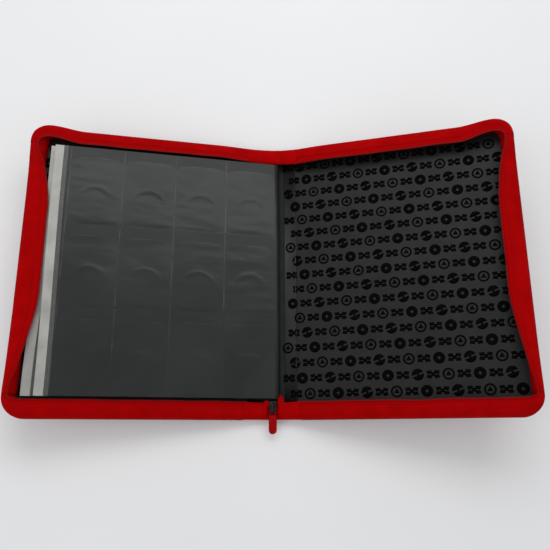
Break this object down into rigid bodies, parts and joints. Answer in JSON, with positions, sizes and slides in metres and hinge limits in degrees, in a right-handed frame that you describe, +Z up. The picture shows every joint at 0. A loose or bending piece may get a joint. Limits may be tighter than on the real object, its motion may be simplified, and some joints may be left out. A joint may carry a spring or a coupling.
{
  "type": "trading card binder",
  "caption": "Zip-around binder with two hinged covers, black side-loading card pocket pages, stitched gusset walls and a zip with a rubber pull.",
  "frame": {"origin": "middle of the spine's underside, on the surface that the binder lies on", "axes": "+X across the open binder towards the front cover, +Y along the spine away from the zip pull, +Z up"},
  "size_m": [0.6283, 0.3893, 0.115],
  "materials": {
    "red_cloth": "matte grained polyurethane cloth",
    "red_tape": "woven zip tape and coil",
    "red_rubber": "satin",
    "black_lining": "smooth printed cloth",
    "grey_board": "uncoated pressed board",
    "foam": "soft closed-cell sheet",
    "black_page": "glossy clear film over black sheet",
    "black_binding": "welded",
    "dark_metal": "satin"
  },
  "bodies": {
    "spine": {"spine_skin": "red_cloth", "spine_board": "grey_board", "spine_lining": "black_lining", "near_spine_gusset": "red_cloth", "far_spine_gusset": "red_cloth", "near_zip_end": "red_tape", "far_zip_end": "red_tape"},
    "back_cover": {"back_cover_skin": "red_cloth", "back_cover_foam": "foam", "back_cover_board": "grey_board", "back_cover_lining": "black_lining", "back_cover_gusset": "red_cloth", "back_zip_tape": "red_tape", "back_zip_teeth": "red_tape"},
    "front_cover": {"front_cover_skin": "red_cloth", "front_cover_foam": "foam", "front_cover_board": "grey_board", "front_cover_lining": "black_lining", "front_cover_gusset": "red_cloth", "front_zip_tape": "red_tape", "front_zip_teeth": "red_tape"},
    "page_block": {"page_binding": "black_binding", "page_13": "black_page", "page_14": "black_page", "page_15": "black_page", "page_16": "black_page", "page_17": "black_page", "page_18": "black_page", "page_19": "black_page", "page_20": "black_page"},
    "page_01": {"page_01": "black_page"},
    "page_02": {"page_02": "black_page"},
    "page_03": {"page_03": "black_page"},
    "page_04": {"page_04": "black_page"},
    "page_05": {"page_05": "black_page"},
    "page_06": {"page_06": "black_page"},
    "page_07": {"page_07": "black_page"},
    "page_08": {"page_08": "black_page"},
    "page_09": {"page_09": "black_page"},
    "page_10": {"page_10": "black_page"},
    "page_11": {"page_11": "black_page"},
    "page_12": {"page_12": "black_page"},
    "slider": {"zip_slider": "dark_metal"},
    "pull_link": {"zip_pull_link": "dark_metal"},
    "pull_tab": {"zip_pull_tab": "red_rubber"}
  },
  "joints": [
    {"name": "front_cover_fold", "type": "hinge", "parent": "spine", "child": "front_cover", "pos_m": [0.024, 0, 0.003], "axis": [0, 1, 0], "range_deg": [-72, 0]},
    {"name": "back_cover_fold", "type": "hinge", "parent": "spine", "child": "back_cover", "pos_m": [-0.024, 0, 0.003], "axis": [0, -1, 0], "range_deg": [-80, 0]},
    {"name": "page_block_fold", "type": "hinge", "parent": "spine", "child": "page_block", "pos_m": [0.002, 0, 0.0115], "axis": [0, -1, 0], "range_deg": [-80, 0]},
    {"name": "page_01_turn", "type": "hinge", "parent": "page_block", "child": "page_01", "pos_m": [0.002, 0, 0.0115], "axis": [0, 1, 0], "range_deg": [0, 150]},
    {"name": "page_02_turn", "type": "hinge", "parent": "page_block", "child": "page_02", "pos_m": [0.002, 0, 0.0115], "axis": [0, 1, 0], "range_deg": [0, 138.47]},
    {"name": "page_03_turn", "type": "hinge", "parent": "page_block", "child": "page_03", "pos_m": [0.002, 0, 0.0115], "axis": [0, 1, 0], "range_deg": [0, 126.93]},
    {"name": "page_04_turn", "type": "hinge", "parent": "page_block", "child": "page_04", "pos_m": [0.002, 0, 0.0115], "axis": [0, 1, 0], "range_deg": [0, 115.38]},
    {"name": "page_05_turn", "type": "hinge", "parent": "page_block", "child": "page_05", "pos_m": [0.002, 0, 0.0115], "axis": [0, 1, 0], "range_deg": [0, 103.84]},
    {"name": "page_06_turn", "type": "hinge", "parent": "page_block", "child": "page_06", "pos_m": [0.002, 0, 0.0115], "axis": [0, 1, 0], "range_deg": [0, 92.31]},
    {"name": "page_07_turn", "type": "hinge", "parent": "page_block", "child": "page_07", "pos_m": [0.002, 0, 0.0115], "axis": [0, 1, 0], "range_deg": [0, 80.78]},
    {"name": "page_08_turn", "type": "hinge", "parent": "page_block", "child": "page_08", "pos_m": [0.002, 0, 0.0115], "axis": [0, 1, 0], "range_deg": [0, 69.22]},
    {"name": "page_09_turn", "type": "hinge", "parent": "page_block", "child": "page_09", "pos_m": [0.002, 0, 0.0115], "axis": [0, 1, 0], "range_deg": [0, 57.69]},
    {"name": "page_10_turn", "type": "hinge", "parent": "page_block", "child": "page_10", "pos_m": [0.002, 0, 0.0115], "axis": [0, 1, 0], "range_deg": [0, 46.16]},
    {"name": "page_11_turn", "type": "hinge", "parent": "page_block", "child": "page_11", "pos_m": [0.002, 0, 0.0115], "axis": [0, 1, 0], "range_deg": [0, 34.62]},
    {"name": "page_12_turn", "type": "hinge", "parent": "page_block", "child": "page_12", "pos_m": [0.002, 0, 0.0115], "axis": [0, 1, 0], "range_deg": [0, 23.07]},
    {"name": "zip_slider_travel", "type": "slide", "parent": "spine", "child": "slider", "axis": [0, 0, 1], "range_m": [0, 0.01]},
    {"name": "zip_pull_swing", "type": "hinge", "parent": "slider", "child": "pull_link", "pos_m": [0, -0.1739, 0.0203], "axis": [-1, 0, 0], "range_deg": [0, 110]},
    {"name": "pull_tab_swing", "type": "hinge", "parent": "pull_link", "child": "pull_tab", "pos_m": [0, -0.18179, 0.01743], "axis": [1, 0, 0], "range_deg": [-18, 18]}
  ],
  "couplings": [
    {"joint": "page_block_fold", "follows": "back_cover_fold", "ratio": 1},
    {"joint": "page_02_turn", "follows": "page_01_turn", "ratio": 0.9231},
    {"joint": "page_03_turn", "follows": "page_01_turn", "ratio": 0.8462},
    {"joint": "page_04_turn", "follows": "page_01_turn", "ratio": 0.7692},
    {"joint": "page_05_turn", "follows": "page_01_turn", "ratio": 0.6923},
    {"joint": "page_06_turn", "follows": "page_01_turn", "ratio": 0.6154},
    {"joint": "page_07_turn", "follows": "page_01_turn", "ratio": 0.5385},
    {"joint": "page_08_turn", "follows": "page_01_turn", "ratio": 0.4615},
    {"joint": "page_09_turn", "follows": "page_01_turn", "ratio": 0.3846},
    {"joint": "page_10_turn", "follows": "page_01_turn", "ratio": 0.3077},
    {"joint": "page_11_turn", "follows": "page_01_turn", "ratio": 0.2308},
    {"joint": "page_12_turn", "follows": "page_01_turn", "ratio": 0.1538}
  ]
}
